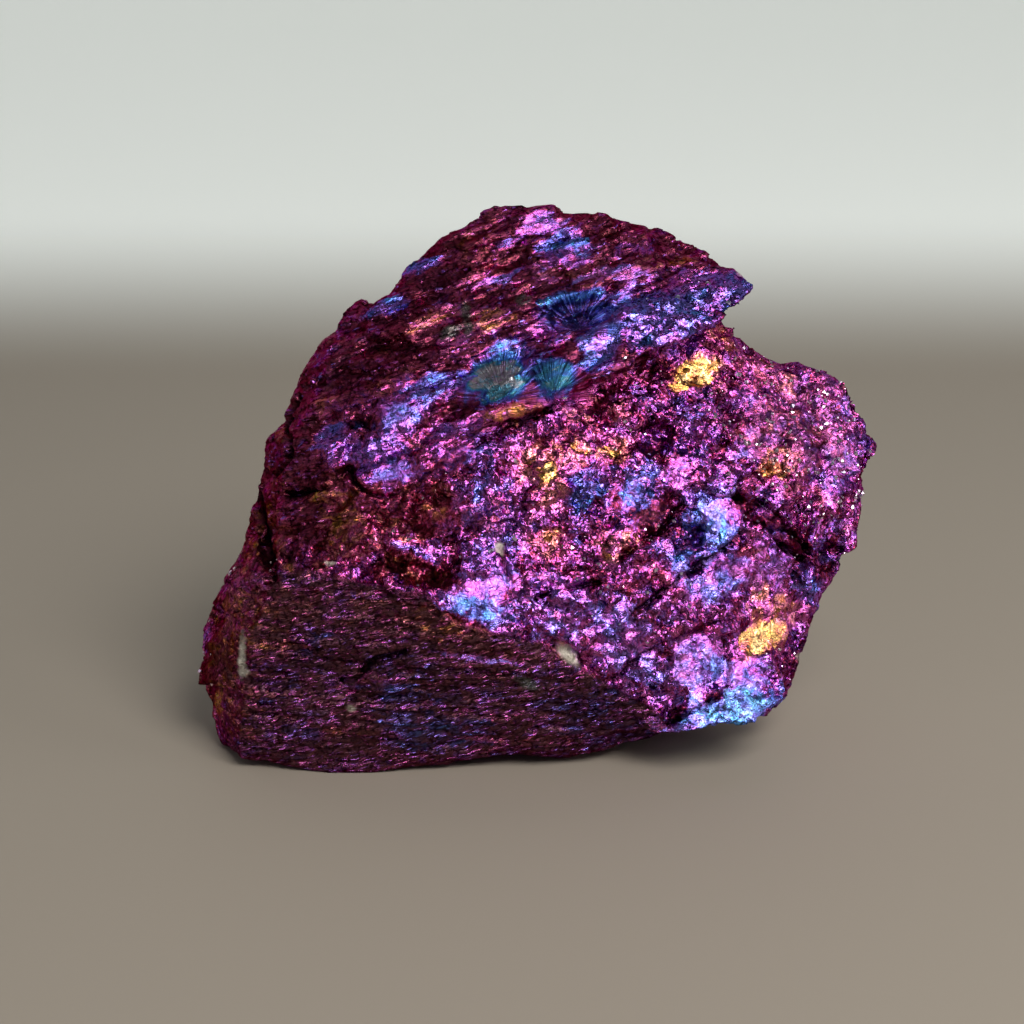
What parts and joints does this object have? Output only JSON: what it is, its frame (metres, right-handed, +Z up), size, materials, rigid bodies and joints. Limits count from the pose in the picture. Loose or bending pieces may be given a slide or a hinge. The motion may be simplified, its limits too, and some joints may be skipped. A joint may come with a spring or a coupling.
{
  "type": "mineral specimen",
  "caption": "Hand-sized lump of peacock ore with a layered dome, a jutting ledge, a grainy broken side and a dark striated slab along its foot, cut level to stand.",
  "frame": {"origin": "middle of the bounding box, on the level resting face", "axes": "+X along the stone's length toward the end under the jutting ledge, -Y toward the viewer of its display side, +Z up as it stands"},
  "size_m": [0.0994, 0.0578, 0.0741],
  "materials": {
    "tarnished_ore": "metallic tarnish"
  },
  "bodies": {
    "root": {"ore_specimen": "tarnished_ore"}
  },
  "joints": []
}
